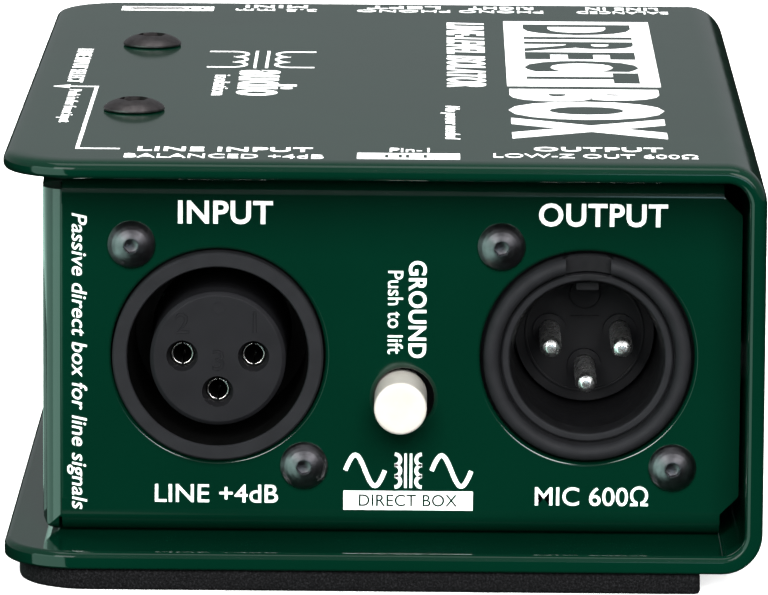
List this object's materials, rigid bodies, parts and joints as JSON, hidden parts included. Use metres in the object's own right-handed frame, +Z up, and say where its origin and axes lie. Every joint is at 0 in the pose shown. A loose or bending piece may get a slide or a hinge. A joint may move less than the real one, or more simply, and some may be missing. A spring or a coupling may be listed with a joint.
{
  "type": "direct injection box",
  "caption": "Passive audio direct injection box: green steel sleeve round a folded chassis, three-pin input and output in front, push buttons, rear sockets and a foam base pad.",
  "frame": {"origin": "centre of the box's footprint, on the surface that the foam pad rests on", "axes": "+X to the right seen from the front, +Y from the front panel to the rear panel, +Z up"},
  "size_m": [0.084, 0.127, 0.0495],
  "materials": {
    "green_paint": "glossy dark green paint",
    "foam": "matt foam",
    "black_steel": "black oxide, satin",
    "black_plastic": "satin black",
    "white_plastic": "off-white, satin",
    "silver": "bright nickel",
    "gold": "gold over brass",
    "can_metal": "dull annealed",
    "board": "solder mask over glass laminate",
    "copper": "enamelled copper wire",
    "resistor_coat": "lacquer",
    "film_red": "epoxy"
  },
  "bodies": {
    "case": {"base_pad": "foam", "board_screw_1": "silver", "board_screw_2": "silver", "board_screw_3": "silver", "board_standoff_1": "gold", "board_standoff_2": "gold", "board_standoff_3": "gold", "capacitor_1": "film_red", "capacitor_2": "film_red", "case_screw_bottom_front": "black_steel", "case_screw_bottom_rear": "black_steel", "case_screw_top_front": "black_steel", "case_screw_top_rear": "black_steel", "circuit_board": "board", "ground_lift_spring": "silver", "ground_lift_switch_body": "black_plastic", "inner_chassis": "green_paint", "input_select_spring": "silver", "input_select_switch_body": "black_plastic", "line_jack_casing": "black_plastic", "line_jack_nut": "silver", "line_jack_sleeve": "silver", "line_jack_washer": "silver", "merge_spring": "silver", "merge_switch_body": "black_plastic", "mini_jack_body": "black_plastic", "mini_jack_nut": "silver", "outer_sleeve": "green_paint", "phono_left_barrel": "silver", "phono_left_insulator": "black_plastic", "phono_right_barrel": "silver", "phono_right_insulator": "black_plastic", "resistor_1": "resistor_coat", "resistor_2": "resistor_coat", "resistor_3": "resistor_coat", "resistor_4": "resistor_coat", "transformer_can": "can_metal", "transformer_core": "can_metal", "transformer_winding": "copper", "xlr_input_contact_1": "gold", "xlr_input_contact_2": "gold", "xlr_input_contact_3": "gold", "xlr_input_housing": "black_plastic", "xlr_input_insert": "black_plastic", "xlr_input_screw_lower": "black_steel", "xlr_input_screw_upper": "black_steel", "xlr_output_housing": "black_plastic", "xlr_output_insert": "black_plastic", "xlr_output_pin_1": "silver", "xlr_output_pin_2": "silver", "xlr_output_pin_3": "silver", "xlr_output_screw_lower": "black_steel", "xlr_output_screw_upper": "black_steel"},
    "ground_lift_slider": {"ground_lift_button": "white_plastic", "ground_lift_plunger": "black_plastic"},
    "input_select_slider": {"input_select_button": "white_plastic", "input_select_plunger": "black_plastic"},
    "merge_slider": {"merge_button": "white_plastic", "merge_plunger": "black_plastic"}
  },
  "joints": [
    {"name": "ground_lift_press", "type": "slide", "parent": "case", "child": "ground_lift_slider", "axis": [0, 1, 0], "range_m": [0, 0.003], "stiffness_N_per_m": 400, "springref_m": -0.001, "deforming": ["ground_lift_spring"]},
    {"name": "input_select_press", "type": "slide", "parent": "case", "child": "input_select_slider", "axis": [1, 0, 0], "range_m": [0, 0.0025], "stiffness_N_per_m": 400, "springref_m": -0.001, "deforming": ["input_select_spring"]},
    {"name": "merge_press", "type": "slide", "parent": "case", "child": "merge_slider", "axis": [0, -1, 0], "range_m": [0, 0.003], "stiffness_N_per_m": 400, "springref_m": -0.001, "deforming": ["merge_spring"]}
  ]
}
